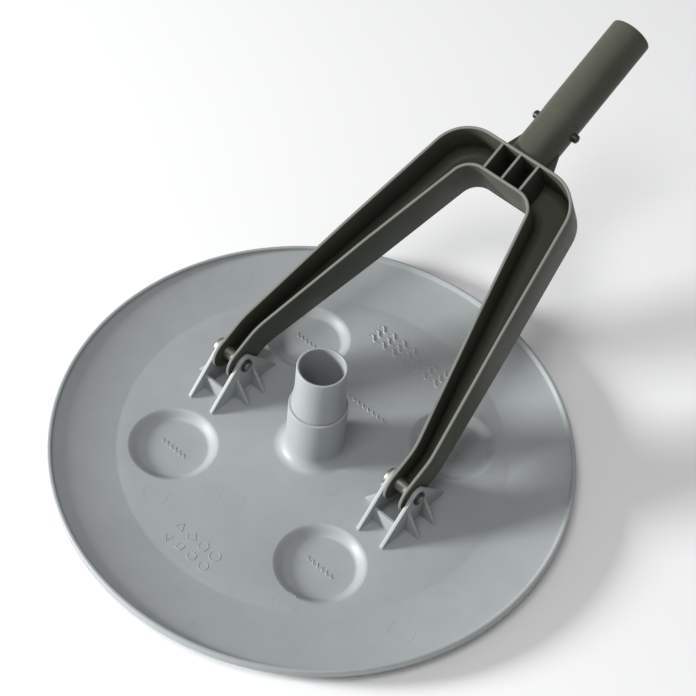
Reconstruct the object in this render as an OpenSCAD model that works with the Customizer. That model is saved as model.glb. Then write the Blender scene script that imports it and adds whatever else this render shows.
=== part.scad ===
// Round suction disc for cleaning a pool floor, with a swivelling hose tail
// and a fork that tilts on two pins and carries the tube for a telescopic pole.
// Millimetres. The origin is on the hose axis, at the top face of the disc's flat middle.
// X runs along the pivot axis, the fork leans towards +Y, and Z is up.

/* [Disc] */
// Diameter over the rim
disc_d = 340; // [280:1:420]
// Diameter of the flat middle, where the dished edge begins
flat_d = 254; // [248:1:280]
// Thickness of the moulded wall
wall = 2.5; // [2:0.1:3.5]
// Height that the dished edge climbs from the flat middle to the rim
dish_rise = 5; // [2:0.5:12]
// Width of the raised lip at the rim
lip_w = 2.6; // [2:0.1:5]
// Height of the lip above the dished edge
lip_h = 3; // [1:0.5:6]

/* [Feet] */
// Distance from the hose axis to the middle of each foot
foot_pitch = 90.6; // [86:0.2:96]
// Depth of the round pocket that forms a foot
foot_depth = 5; // [4:0.5:8]
// Diameter of a pocket at the disc's top face
pocket_d = 58; // [50:1:60]
// Diameter of a pocket's floor
pocket_floor_d = 45; // [30:1:48]
// Radius that rounds the mouth of a pocket
pocket_round = 3; // [1:0.5:3]

/* [Hose collar] */
// Outer diameter of the collar, which takes the larger hose
collar_d = 38; // [31:0.5:46]
// Height of the collar above the disc
collar_h = 42; // [30:1:60]
// Thickness of the collar's wall round the bore in which the hose tail turns
collar_wall = 2.2; // [2:0.1:3]
// Radius of the fillet where the collar meets the disc
collar_fillet = 8; // [2:1:12]

/* [Hose tail] */
// Outer diameter at the free end, which takes the smaller hose
tail_d = 32; // [26:0.5:39]
// Thickness of the tail's wall
tail_wall = 1.7; // [1.4:0.1:3]
// Height of the tail above the collar
tail_h = 36.6; // [25:0.2:60]
// Length of the straight stretch at the free end
tail_grip = 20; // [12:1:22]
// Width of the ledge that the collar leaves round the tail's shoulder
ledge = 1.5; // [1:0.1:2]
// Running clearance on the radius between tail and collar
swivel_clear = 0.08; // [0.02:0.01:0.1]

/* [Hose tail seal and clip] */
// Width of the seal along the hose axis
seal_w = 2.4; // [1.5:0.1:4]
// Depth of the seal's groove in the collar
seal_depth = 1; // [0.8:0.1:1.2]
// Distance from the collar's top down to the seal
seal_drop = 8; // [5:0.5:15]
// Thickness of the clip ring under the disc
clip_t = 1.6; // [1:0.1:2]
// Distance that the clip ring reaches outside the collar's bore
clip_lip = 3.7; // [2:0.1:6]
// Depth of the clip's groove in the tail
clip_depth = 1.1; // [0.6:0.1:1.3]

/* [Pivots] */
// Half the distance between the two brackets' middles
pivot_x = 74; // [72:0.5:80]
// Height of the pivot axis above the disc
pivot_z = 25.7; // [25.5:0.1:34]
// Diameter of the pivot pins, on which the fork turns
pin_d = 9; // [7:0.5:11]
// Diameter of the pin's neck, which passes through the right-hand ear
neck_d = 5.2; // [4:0.1:6]
// Clearance on the radius round a pin in an ear or an arm
pin_clear = 0.05; // [0.02:0.01:0.1]
// Distance that a pin's head stands out round the pin
head_lip = 1.4; // [1.2:0.1:2.2]
// Thickness of the head
head_t = 3; // [2:0.1:4]
// Thickness of the push-on ring that holds the pin
ring_t = 1.8; // [1.2:0.1:3]
// Distance that the push-on ring stands out round the neck
ring_lip = 2; // [1.4:0.1:3]
// Length of pin that stands out of the push-on ring
pin_proud = 0.5; // [0.2:0.1:2]

/* [Brackets] */
// Thickness of a bracket's ears
ear_t = 2.6; // [2:0.1:3.5]
// Width of an ear's wall round the pin
ear_rim = 2.6; // [2:0.1:4]
// Half the length of an ear's foot
ear_foot = 30; // [24:0.5:36]
// Height of the blunt end of that foot
ear_toe = 1.8; // [0.5:0.1:4]
// Side clearance between an arm and an ear
side_clear = 0.35; // [0.3:0.05:0.8]
// Distance from the pivot to the middle of a cross web
web_y = 16.3; // [15:0.1:20]
// Height of the cross webs
web_h = 12; // [6:0.5:12]
// Thickness of webs and gussets
rib_t = 2.2; // [1.6:0.1:3]
// Distance from the pivot to each gusset
gusset_y = 7.5; // [5:0.5:9]
// Height of a gusset on the ear
gusset_h = 18; // [8:0.5:20]
// Length of a gusset's foot
gusset_foot = 11.5; // [5:0.5:12]

/* [Fork] */
// Angle between the fork and the disc at rest
rest_tilt = 27; // [10:1:80]
// Width of an arm at its pivot
arm_w = 14.5; // [14:0.1:16]
// Radius of an arm's round end
arm_end_r = 12.5; // [10:0.1:12.8]
// Depth of the fork's channel
fork_depth = 34; // [32:1:36]
// Distance along the arm over which it reaches its full depth
taper_len = 110; // [60:1:150]
// Distance from the pivot to the bend in the arm
bend_v = 22; // [20:0.5:26]
// Radius of that bend
bend_r = 60; // [20:1:60]
// Distance from the pivot to the crown's outer face
crown_v = 216; // [195:1:260]
// Width of the channel across the crown
crown_w = 24; // [18:0.5:26]
// Half the width of the fork where its outer corners begin
crown_half = 50; // [46:0.5:58]
// Radius of the outer corners
outer_r = 28; // [20:1:28]
// Radius of the inner corners
inner_r = 14; // [8:1:14]
// Thickness of the channel's walls
fork_wall = 2; // [1.6:0.1:3]
// Thickness of the channel's floor
fork_floor = 2.4; // [1.6:0.1:4]
// Distance between the crown's ribs
rib_pitch = 14.6; // [8:0.1:16]
// Height of the round pads that centre an arm between its ears
pad_t = 0.8; // [0.4:0.1:1.2]

/* [Pole tube] */
// Outer diameter of the tube, which slides into the pole
tube_d = 29; // [27:0.5:30]
// Wall of the tube
tube_wall = 2.4; // [1.8:0.1:2.8]
// Length of the tube from the crown to its open end
tube_l = 112.5; // [95:0.5:180]
// Depth of the relief from the crown to just past the buttons
tube_relief = 0.2; // [0.1:0.05:0.5]
// Distance that the relief runs past the buttons
relief_past = 2; // [1:0.5:6]
// Length of the tube's side gussets
tube_gusset_l = 18; // [8:1:22]
// Width of the side gussets at the crown
tube_gusset_w = 6; // [2:0.5:9]

/* [Snap buttons] */
// Distance from the crown to the buttons
button_v = 32; // [26:1:36]
// Diameter of a button
button_d = 6; // [5:0.1:7]
// Clearance on the radius round a button
button_clear = 0.08; // [0.05:0.01:0.1]
// Height of a button outside the tube
button_out = 4; // [2.5:0.1:4.2]
// Distance that a button's flange stands out round the button
flange_lip = 1.5; // [1:0.1:2.5]
// Thickness of that flange
flange_t = 1.2; // [0.8:0.1:2]
// Thickness of the spring strip
strip_t = 0.8; // [0.5:0.1:1]
// Width of the spring strip
strip_w = 8; // [6:0.5:9]
// Distance from the buttons to the spring's bend
spring_l = 46; // [35:1:50]
// Radius of the spring's bend
spring_r = 4; // [3:0.5:5]

/* [Hidden] */

$fn = 96;
eps = 0.01;

// Colours of the real pieces
disc_grey = [0.72, 0.75, 0.75];
fork_grey = [0.20, 0.21, 0.19];
steel = [0.70, 0.69, 0.66];
dark = [0.08, 0.08, 0.08];

// Disc
disc_r = disc_d / 2;
lip_r = disc_r - lip_w;
lip_top = dish_rise + lip_h;
pocket_r = pocket_d / 2;
pocket_floor_r = min(pocket_floor_d / 2, pocket_r - pocket_round - 1);
flat_r = min(max(flat_d / 2, foot_pitch + pocket_r + 3), lip_r - 3);
foot_xy = foot_pitch / sqrt(2);

// Hose connection
collar_r = collar_d / 2;
collar_bore_r = collar_r - collar_wall;
tail_r = tail_d / 2;
shoulder_r = collar_r - ledge;
tail_low_r = collar_bore_r - swivel_clear;
clip_wall = 1.3;
tail_bore_r = min(tail_r - tail_wall, tail_low_r - clip_depth - clip_wall);
tail_top = collar_h + tail_h;
shoulder_gap = 0.1;
seal_z = collar_h - seal_drop - seal_w;
clip_gap = 0.3;
clip_top = -wall - clip_gap;
clip_fit = 0.05;
clip_r = collar_bore_r + clip_lip;
tail_bottom = clip_top - clip_t - 0.7;

// Brackets and pins
arm_pad_w = arm_w + 2 * pad_t;
ear_gap = arm_pad_w + 2 * side_clear;
ear_out = ear_gap / 2 + ear_t;
pin_r = pin_d / 2;
neck_r = min(neck_d / 2, pin_r - 0.8);
head_r = pin_r + head_lip;
ring_r = neck_r + ring_lip;
ear_top_r = pin_r + ear_rim;
pin_hole_r = pin_r + pin_clear;
neck_hole_r = neck_r + pin_clear;
pin_left = -ear_out;
pin_step = ear_gap / 2 - pin_clear;
pin_right = ear_out + ring_t + pin_proud;
bracket_sink = wall / 2;

// Fork, in its own plane: u across, v along the arms, w square to them
fork_half = fork_depth / 2;
inner_w = pivot_x - arm_w / 2;
outer_w = pivot_x + arm_w / 2;
crown_in_v = crown_v - crown_w;
crown_in_half = crown_half - crown_w;
floor_start = 4;

// Tube and buttons
tube_r = tube_d / 2;
tube_bore_r = tube_r - tube_wall;
button_at = crown_v + button_v;
button_r = button_d / 2;
relief_l = button_v + button_r + relief_past;
flange_r = button_r + flange_lip;
flange_gap = 0.1;
flange_out = sqrt(pow(tube_bore_r, 2) - pow(flange_r, 2)) - flange_gap;
leg_tip = flange_out - flange_t;
button_dome = 2;

// Points of a polygon whose corners [x, y, radius] are rounded by arcs of n steps
function unit(v) = v / norm(v);
function corner_arc(a, p, b, r, n) =
    let (
        da = unit([a[0] - p[0], a[1] - p[1]]),
        db = unit([b[0] - p[0], b[1] - p[1]]),
        half = acos(max(-1, min(1, da * db))) / 2,
        mid = unit(da + db),
        c = [p[0], p[1]] + mid * r / sin(half),
        pa = [p[0], p[1]] + da * r / tan(half),
        pb = [p[0], p[1]] + db * r / tan(half),
        t0 = atan2(pa[1] - c[1], pa[0] - c[0]),
        t1 = atan2(pb[1] - c[1], pb[0] - c[0]),
        turn = (t1 - t0 > 180) ? t1 - t0 - 360 : (t1 - t0 < -180) ? t1 - t0 + 360 : t1 - t0
    )
    [for (i = [0 : n]) c + r * [cos(t0 + turn * i / n), sin(t0 + turn * i / n)]];
function rounded(pts, n) = [
    for (i = [0 : len(pts) - 1])
        let (a = pts[(i + len(pts) - 1) % len(pts)], p = pts[i], b = pts[(i + 1) % len(pts)])
        each (p[2] > 0 ? corner_arc(a, p, b, p[2], n) : [[p[0], p[1]]])
];

// Point where the line from a tangent touches a circle, seen from a foot at [f, 0]
function tangent_angle(f, z, r) = acos(r / norm([f, z])) - atan2(z, f);

// ---------- suction disc ----------

module disc_section() {
    polygon([
        [0, 0], [flat_r, 0], [lip_r, dish_rise], [lip_r, lip_top],
        [disc_r, lip_top], [disc_r, dish_rise - wall + 0.6],
        [disc_r - 0.6, dish_rise - wall], [lip_r, dish_rise - wall],
        [flat_r, -wall], [0, -wall]
    ]);
}

// Outline of a pocket or of the foot under it, from its middle outwards
module cup_section(floor_r, mouth_r, depth, round_r) {
    difference() {
        polygon([
            [0, 0], [mouth_r + round_r, 0], [mouth_r, -round_r / 2],
            [floor_r, -depth], [0, -depth]
        ]);
    }
}

module foot_positions() {
    for (sx = [-1, 1], sy = [-1, 1])
        translate([sx * foot_xy, sy * foot_xy, 0]) children();
}

module pocket() {
    translate([0, 0, eps])
        rotate_extrude() cup_section(pocket_floor_r, pocket_r - pocket_round, foot_depth + eps, pocket_round);
}

module foot() {
    translate([0, 0, -wall])
        rotate_extrude() cup_section(pocket_floor_r, pocket_r - 1, foot_depth, 1);
}

module collar_body() {
    rotate_extrude() difference() {
        polygon([
            [0, -wall], [collar_r + collar_fillet, -wall], [collar_r + collar_fillet, 0],
            [collar_r + collar_fillet, collar_fillet], [collar_r, collar_fillet],
            [collar_r, collar_h - 0.6], [collar_r - 0.6, collar_h], [0, collar_h]
        ]);
        translate([collar_r + collar_fillet, collar_fillet]) circle(r = collar_fillet);
    }
}

module ear_plate() {
    ta = tangent_angle(ear_foot, pivot_z - ear_toe, ear_top_r);
    rotate([90, 0, 90]) linear_extrude(ear_t) {
        polygon([
            [-ear_foot, -bracket_sink], [ear_foot, -bracket_sink], [ear_foot, ear_toe],
            [ear_top_r * cos(ta), pivot_z + ear_top_r * sin(ta)],
            [-ear_top_r * cos(ta), pivot_z + ear_top_r * sin(ta)], [-ear_foot, ear_toe]
        ]);
        translate([0, pivot_z]) circle(r = ear_top_r);
    }
}

module gusset() {
    rotate([90, 0, 0]) linear_extrude(rib_t, center = true)
        polygon([
            [-eps, -bracket_sink], [gusset_foot, -bracket_sink], [gusset_foot, 0], [-eps, gusset_h]
        ]);
}

module bracket() {
    for (s = [-1, 1]) {
        translate([s * (ear_gap + ear_t) / 2 - ear_t / 2, 0, 0]) ear_plate();
        for (sy = [-1, 1])
            translate([s * ear_out, sy * gusset_y, 0]) mirror([s < 0 ? 1 : 0, 0, 0]) gusset();
        translate([-ear_gap / 2 - eps, s * web_y - rib_t / 2, -bracket_sink])
            cube([ear_gap + 2 * eps, rib_t, web_h + bracket_sink]);
    }
}

// Hole for a pin: its full width through the left ear, its neck through the right one
module pin_holes() {
    translate([0, 0, pivot_z]) rotate([0, 90, 0]) {
        translate([0, 0, -ear_out - 1]) cylinder(r = pin_hole_r, h = ear_out + 1);
        translate([0, 0, -eps]) cylinder(r = neck_hole_r, h = ear_out + 1);
    }
}

module suction_disc() {
    color(disc_grey) difference() {
        union() {
            rotate_extrude() disc_section();
            foot_positions() foot();
            collar_body();
            for (s = [-1, 1]) translate([s * pivot_x, 0, 0]) bracket();
        }
        foot_positions() pocket();
        translate([0, 0, -wall - 1]) cylinder(r = collar_bore_r, h = collar_h + wall + 2);
        translate([0, 0, seal_z]) cylinder(r = collar_bore_r + seal_depth, h = seal_w);
        for (s = [-1, 1]) translate([s * pivot_x, 0, 0]) pin_holes();
    }
}

// ---------- hose tail ----------

module hose_tail() {
    color(disc_grey) rotate_extrude() polygon([
        [tail_bore_r, tail_bottom], [tail_low_r, tail_bottom],
        [tail_low_r, clip_top - clip_t - clip_fit],
        [tail_low_r - clip_depth, clip_top - clip_t - clip_fit],
        [tail_low_r - clip_depth, clip_top + clip_fit], [tail_low_r, clip_top + clip_fit],
        [tail_low_r, collar_h + shoulder_gap], [shoulder_r, collar_h + shoulder_gap],
        [shoulder_r, collar_h + 2], [tail_r, tail_top - tail_grip], [tail_r, tail_top - 0.5],
        [tail_r - 0.5, tail_top], [tail_bore_r + 0.4, tail_top], [tail_bore_r, tail_top - 0.4]
    ]);
}

module tail_seal() {
    seal_fit = 0.05;
    color(dark) translate([0, 0, seal_z + seal_fit]) difference() {
        cylinder(r = collar_bore_r + seal_depth - 0.02, h = seal_w - 2 * seal_fit);
        translate([0, 0, -1]) cylinder(r = tail_low_r + 0.04, h = seal_w + 2);
    }
}

module tail_clip_ring() {
    slot_w = 2 * (tail_low_r - clip_depth) * 0.55;
    color(disc_grey) translate([0, 0, clip_top - clip_t]) difference() {
        cylinder(r = clip_r, h = clip_t);
        translate([0, 0, -1]) cylinder(r = tail_low_r - clip_depth + 0.02, h = clip_t + 2);
        translate([0, -slot_w / 2, -1]) cube([clip_r + 1, slot_w, clip_t + 2]);
    }
}

// ---------- pivot pins ----------

module along_pivot(side) {
    translate([side * pivot_x, 0, pivot_z]) rotate([0, 90, 0]) children();
}

module pivot_pin(side) {
    color(steel) along_pivot(side) rotate_extrude() polygon([
        [0, pin_left - head_t], [head_r - 1.4, pin_left - head_t],
        [head_r - 0.4, pin_left - head_t * 0.75], [head_r, pin_left - head_t * 0.45],
        [head_r, pin_left], [pin_r, pin_left], [pin_r, pin_step], [neck_r, pin_step],
        [neck_r, pin_right - 0.4], [neck_r - 0.4, pin_right], [0, pin_right]
    ]);
}

module pin_ring(side) {
    color(dark) along_pivot(side) rotate_extrude() polygon([
        [neck_r, ear_out], [ring_r, ear_out], [ring_r, ear_out + ring_t * 0.6],
        [ring_r - 0.6, ear_out + ring_t], [neck_r, ear_out + ring_t]
    ]);
}

module pivot_pin_left() { pivot_pin(-1); }
module pivot_pin_right() { pivot_pin(1); }
module pin_ring_left() { pin_ring(-1); }
module pin_ring_right() { pin_ring(1); }

// ---------- fork ----------

module fork_pose() {
    translate([0, 0, pivot_z]) rotate([rest_tilt, 0, 0]) children();
}

// Outer outline of the fork, moved inwards by t
module outer_plan(t) {
    lean = atan2(outer_w - crown_half, crown_v - bend_v);
    shift = t / cos(lean);
    polygon(rounded([
        [outer_w - t, -arm_end_r - 5, 0],
        [outer_w - t, bend_v, bend_r],
        [crown_half - shift + t * tan(lean), crown_v - t, outer_r - t],
        [-crown_half + shift - t * tan(lean), crown_v - t, outer_r - t],
        [-outer_w + t, bend_v, bend_r],
        [-outer_w + t, -arm_end_r - 5, 0]
    ], 14));
}

// Outline of the window between the arms, moved outwards by t
module inner_plan(t) {
    lean = atan2(inner_w - crown_in_half, crown_in_v - bend_v);
    shift = t / cos(lean);
    polygon(rounded([
        [inner_w + t, -arm_end_r - 6, 0],
        [inner_w + t, bend_v, bend_r],
        [crown_in_half + shift - t * tan(lean), crown_in_v + t, inner_r + t],
        [-crown_in_half - shift + t * tan(lean), crown_in_v + t, inner_r + t],
        [-inner_w - t, bend_v, bend_r],
        [-inner_w - t, -arm_end_r - 6, 0]
    ], 14));
}

module channel_plan(t) {
    difference() {
        outer_plan(t);
        inner_plan(t);
    }
}

// Side view of the fork, v to the right and w up
module side_view() {
    circle(r = arm_end_r);
    polygon([
        [0, -arm_end_r], [taper_len, -fork_half], [crown_v + 1, -fork_half],
        [crown_v + 1, fork_half], [taper_len, fork_half], [0, arm_end_r]
    ]);
}

// Side view of the hollow above the channel's floor, open at the arm's end
module hollow_view() {
    polygon([
        [-arm_end_r - 8, -fork_half - 1], [floor_start, -fork_half - 1],
        [floor_start, -arm_end_r + fork_floor - 0.2], [taper_len, -fork_half + fork_floor],
        [crown_v + 1, -fork_half + fork_floor], [crown_v + 1, fork_half + 1],
        [-arm_end_r - 8, fork_half + 1]
    ]);
}

module across(l) {
    rotate([90, 0, 90]) linear_extrude(l, center = true) children();
}

module channel_body() {
    intersection() {
        translate([0, 0, -fork_half - 1]) linear_extrude(fork_depth + 2) channel_plan(0);
        across(2 * outer_w + 10) side_view();
    }
}

module channel_hollow() {
    intersection() {
        translate([0, 0, -fork_half - 2]) linear_extrude(fork_depth + 4) channel_plan(fork_wall);
        across(2 * outer_w + 10) hollow_view();
    }
}

module crown_ribs() {
    for (k = [-1 : 1])
        translate([k * rib_pitch - fork_wall / 2, crown_in_v + fork_wall / 2, -fork_half + 0.5])
            cube([fork_wall, crown_w - fork_wall, fork_depth - 1]);
}

module pads() {
    for (s = [-1, 1]) translate([s * pivot_x, 0, 0]) rotate([0, 90, 0]) difference() {
        cylinder(r = ear_top_r, h = arm_pad_w, center = true);
        cylinder(r = ear_top_r + 1, h = arm_w - 2 * fork_wall, center = true);
    }
}

module tube_solid() {
    rotate([-90, 0, 0]) {
        translate([0, 0, crown_v - fork_wall / 2])
            cylinder(r = tube_r - tube_relief, h = tube_l + fork_wall / 2);
        translate([0, 0, crown_v + relief_l]) cylinder(r = tube_r, h = tube_l - relief_l);
    }
    linear_extrude(2 * fork_wall, center = true) polygon([
        [-tube_r - tube_gusset_w, crown_v - fork_wall / 2], [tube_r + tube_gusset_w, crown_v - fork_wall / 2],
        [tube_r + tube_gusset_w, crown_v + 1], [tube_r - 0.5, crown_v + tube_gusset_l],
        [-tube_r + 0.5, crown_v + tube_gusset_l], [-tube_r - tube_gusset_w, crown_v + 1]
    ]);
}

module fork() {
    color(fork_grey) fork_pose() difference() {
        union() {
            difference() {
                channel_body();
                channel_hollow();
            }
            crown_ribs();
            pads();
            tube_solid();
        }
        rotate([-90, 0, 0]) translate([0, 0, crown_v + 1]) cylinder(r = tube_bore_r, h = tube_l);
        for (s = [-1, 1]) translate([s * pivot_x, 0, 0]) rotate([0, 90, 0])
            cylinder(r = pin_hole_r, h = arm_pad_w + 2, center = true);
        translate([0, button_at, 0]) rotate([0, 90, 0])
            cylinder(r = button_r + button_clear, h = tube_d + 2, center = true);
    }
}

// ---------- snap buttons and their spring ----------

module leg(s) {
    run = spring_l;
    rise = leg_tip - spring_r;
    len = norm([run, rise]);
    translate([s * spring_r, button_at + spring_l, 0]) rotate([0, 0, s * atan2(rise, run)])
        translate([s > 0 ? -strip_t : 0, -len, -strip_w / 2]) cube([strip_t, len, strip_w]);
}

module button_spring() {
    color(steel) fork_pose() {
        for (s = [-1, 1]) leg(s);
        translate([0, button_at + spring_l, -strip_w / 2]) intersection() {
            difference() {
                cylinder(r = spring_r, h = strip_w);
                translate([0, 0, -1]) cylinder(r = spring_r - strip_t, h = strip_w + 2);
            }
            translate([-spring_r - 1, -eps, 0]) cube([2 * spring_r + 2, spring_r + 2, strip_w]);
        }
    }
}

module snap_button(s) {
    color(dark) fork_pose() translate([0, button_at, 0]) rotate([0, s * 90, 0]) rotate_extrude() polygon([
        [0, flange_out - flange_t], [flange_r, flange_out - flange_t], [flange_r, flange_out],
        [button_r, flange_out], [button_r, tube_r + button_out - button_dome],
        [button_r * 0.92, tube_r + button_out - button_dome * 0.6],
        [button_r * 0.7, tube_r + button_out - button_dome * 0.25],
        [button_r * 0.35, tube_r + button_out - button_dome * 0.05], [0, tube_r + button_out]
    ]);
}

module snap_button_left() { snap_button(-1); }
module snap_button_right() { snap_button(1); }

suction_disc();
hose_tail();
tail_seal();
tail_clip_ring();
pivot_pin_left();
pivot_pin_right();
pin_ring_left();
pin_ring_right();
fork();
button_spring();
snap_button_left();
snap_button_right();
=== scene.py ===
# %% [markdown]
# # A pool suction disc, built piece by piece
# This lesson dresses a packed mechanical model of a pool cleaner. The model gives
# the frame: every solid in metres, grouped into the bodies that its joints move.
# Each visible piece is rebuilt here as a smooth mesh with rounded edges in exactly
# the place of its solid, then given a procedural material.

import math
import bmesh
import bpy
from mathutils import Matrix, Vector
from mathutils.geometry import delaunay_2d_cdt


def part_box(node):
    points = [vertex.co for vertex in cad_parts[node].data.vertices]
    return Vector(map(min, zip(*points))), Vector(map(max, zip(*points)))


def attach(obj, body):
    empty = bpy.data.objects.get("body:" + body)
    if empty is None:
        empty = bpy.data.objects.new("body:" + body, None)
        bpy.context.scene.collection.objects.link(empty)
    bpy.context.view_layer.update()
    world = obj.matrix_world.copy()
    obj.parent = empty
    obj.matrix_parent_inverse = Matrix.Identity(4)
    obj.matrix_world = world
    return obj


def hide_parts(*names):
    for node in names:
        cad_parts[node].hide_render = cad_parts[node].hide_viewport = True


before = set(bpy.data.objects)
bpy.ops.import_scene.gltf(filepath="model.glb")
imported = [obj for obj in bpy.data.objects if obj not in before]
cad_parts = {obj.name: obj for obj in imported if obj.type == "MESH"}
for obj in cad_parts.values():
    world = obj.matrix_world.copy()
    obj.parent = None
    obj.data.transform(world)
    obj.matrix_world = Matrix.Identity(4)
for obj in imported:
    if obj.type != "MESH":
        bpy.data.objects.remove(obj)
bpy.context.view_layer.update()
print("nodes:", sorted(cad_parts))

# %% [markdown]
# ## Units and sizes
# The frame is in metres, but a maker thinks of mouldings in millimetres. All sizes
# are written in millimetres, and one helper scales a finished mesh to metres.

# %% Sizes of the disc
MM = 0.001
DISC_R = 170.0
LIP_R = 167.4
LIP_TOP = 8.0
FLAT_R = 127.0
DISH_RISE = 5.0
WALL = 2.5
FOOT_XY = 90.6 / math.sqrt(2)
POCKET_MOUTH_R = 29.5
POCKET_FLOOR_R = 22.0
POCKET_DEPTH = 5.0
COLLAR_R = 19.0
COLLAR_H = 42.0
COLLAR_BORE_R = 16.8
COLLAR_FILLET = 8.0
PIVOT_X = 74.0
PIVOT_Z = 25.7
SEAL_LOW = 31.6
SEAL_HIGH = 34.0
SEAL_GROOVE = 1.0
low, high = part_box("suction_disc")
print("disc box in mm:", [round(v / MM, 1) for v in low], [round(v / MM, 1) for v in high])

# %% Sizes of the fork
REST_TILT = math.radians(27.0)
FORK_WALL = 2.0
FORK_FLOOR = 2.4
ARM_END_R = 12.5
FORK_HALF = 17.0
TAPER = 110.0
BEND_V = 22.0
CROWN_V = 216.0
CROWN_IN_V = 192.0
FLOOR_START = 4.0
OUTER = dict(arm=81.25, crown=50.0, top=CROWN_V, corner=28.0)
INNER = dict(arm=66.75, crown=26.0, top=CROWN_IN_V, corner=14.0)
ARM_W = OUTER["arm"] - INNER["arm"]
PAD_T = 0.8
SIDE_PLAY = 0.35
low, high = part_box("fork")
print("fork box in mm:", [round(v / MM, 1) for v in low], [round(v / MM, 1) for v in high])

# %% [markdown]
# ## Turning bmesh data into pieces
# A piece must sit at the origin with its place in its mesh. `make_piece` does that:
# it merges doubles, points the faces outwards, smooths what is nearly tangent and
# leaves real creases sharp.

# %% Mesh helpers
CREASE = math.radians(32.0)


def make_piece(name, bm, material, crease=CREASE, place=None):
    """Writes a bmesh in millimetres out as an object in metres."""
    bmesh.ops.remove_doubles(bm, verts=bm.verts, dist=0.002)
    bmesh.ops.recalc_face_normals(bm, faces=bm.faces)
    if place is not None:
        bmesh.ops.transform(bm, matrix=place, verts=bm.verts)
    bmesh.ops.scale(bm, vec=(MM, MM, MM), verts=bm.verts)
    for face in bm.faces:
        face.smooth = True
    for edge in bm.edges:
        edge.smooth = edge.is_manifold and edge.calc_face_angle(0.0) < crease
    mesh = bpy.data.meshes.new(name)
    bm.to_mesh(mesh)
    bm.free()
    mesh.materials.append(material)
    piece = bpy.data.objects.new(name, mesh)
    bpy.context.scene.collection.objects.link(piece)
    print(f"{name}: {len(mesh.polygons)} faces")
    return piece


def arc(cx, cy, r, start, end, steps):
    """Points of an arc in degrees, both ends included."""
    angles = [math.radians(start + (end - start) * i / steps) for i in range(steps + 1)]
    return [(cx + r * math.cos(a), cy + r * math.sin(a)) for a in angles]


def revolve(bm, profile, steps, centre=(0.0, 0.0), closed=False):
    """Sweeps a profile of (radius, height) round a vertical axis."""
    rings = []
    for radius, height in profile:
        if radius < 1e-6:
            rings.append([bm.verts.new((centre[0], centre[1], height))])
            continue
        ring = []
        for i in range(steps):
            a = 2.0 * math.pi * i / steps
            x, y = centre[0] + radius * math.cos(a), centre[1] + radius * math.sin(a)
            ring.append(bm.verts.new((x, y, height)))
        rings.append(ring)
    pairs = list(zip(rings, rings[1:])) + ([(rings[-1], rings[0])] if closed else [])
    for a, b in pairs:
        for i in range(steps):
            j = (i + 1) % steps
            if len(a) == 1:
                bm.faces.new((a[0], b[i], b[j]))
            elif len(b) == 1:
                bm.faces.new((a[i], a[j], b[0]))
            else:
                bm.faces.new((a[i], a[j], b[j], b[i]))
    return rings


def outline_plate(bm, outline, thickness, round_r, to_space):
    """A plate from a 2-D outline, its edges rounded, with its middle on zero."""
    half = thickness / 2.0
    steps = 3
    levels = []
    for i in range(steps + 1):
        a = math.pi / 2.0 * i / steps
        levels.append((round_r * (1.0 - math.sin(a)), -half + round_r * (1.0 - math.cos(a))))
    levels += [(inset, -height) for inset, height in reversed(levels)]
    rings = []
    for inset, height in levels:
        pts = inset_outline(outline, inset)
        rings.append([bm.verts.new(to_space(x, y, height)) for x, y in pts])
    n = len(outline)
    for a, b in zip(rings, rings[1:]):
        for i in range(n):
            j = (i + 1) % n
            bm.faces.new((a[i], a[j], b[j], b[i]))
    bm.faces.new(list(reversed(rings[0])))
    bm.faces.new(rings[-1])


def inset_outline(outline, inset):
    """Moves every side of a counter-clockwise outline inwards."""
    if inset == 0.0:
        return list(outline)
    n = len(outline)
    moved = []
    for i in range(n):
        p0, p1, p2 = outline[i - 1], outline[i], outline[(i + 1) % n]
        a = Vector((p1[0] - p0[0], p1[1] - p0[1])).normalized()
        b = Vector((p2[0] - p1[0], p2[1] - p1[1])).normalized()
        na, nb = Vector((-a.y, a.x)), Vector((-b.y, b.x))
        mid = (na + nb).normalized()
        scale = inset / max(0.3, mid.dot(na))
        moved.append((p1[0] + mid.x * scale, p1[1] + mid.y * scale))
    return moved


# %% [markdown]
# ## Shader helpers
# Every material is a Principled shader fed by a few noise patterns in object
# coordinates. The helpers below keep the recipes short: `noise`, `ramp`, `mix` and
# `calc` make nodes, and `bump` lays fine relief over the finished surface.

# %% Shader helpers
def new_material(name):
    """A material with an empty node tree, a Principled shader and object coordinates."""
    material = bpy.data.materials.new(name)
    material.use_nodes = True
    tree = material.node_tree
    tree.nodes.clear()
    out = tree.nodes.new("ShaderNodeOutputMaterial")
    shader = tree.nodes.new("ShaderNodeBsdfPrincipled")
    coords = tree.nodes.new("ShaderNodeTexCoord")
    tree.links.new(shader.outputs["BSDF"], out.inputs["Surface"])
    return material, tree, shader, coords.outputs["Object"]


def noise(tree, coords, scale, detail=3.0, roughness=0.55, stretch=(1.0, 1.0, 1.0)):
    """A noise pattern; scale is in features per metre."""
    place = tree.nodes.new("ShaderNodeMapping")
    place.inputs["Scale"].default_value = stretch
    tree.links.new(coords, place.inputs["Vector"])
    node = tree.nodes.new("ShaderNodeTexNoise")
    node.inputs["Scale"].default_value = scale
    node.inputs["Detail"].default_value = detail
    node.inputs["Roughness"].default_value = roughness
    tree.links.new(place.outputs["Vector"], node.inputs["Vector"])
    return node.outputs["Fac"]


def ramp(tree, value, stops):
    """Turns a value into colours or greys at the given stops."""
    node = tree.nodes.new("ShaderNodeValToRGB")
    while len(node.color_ramp.elements) < len(stops):
        node.color_ramp.elements.new(0.5)
    for element, (at, colour) in zip(node.color_ramp.elements, stops):
        element.position = at
        rgb = colour if isinstance(colour, tuple) else (colour, colour, colour)
        element.color = (*rgb, 1.0)
    tree.links.new(value, node.inputs["Fac"])
    return node.outputs["Color"]


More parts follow.
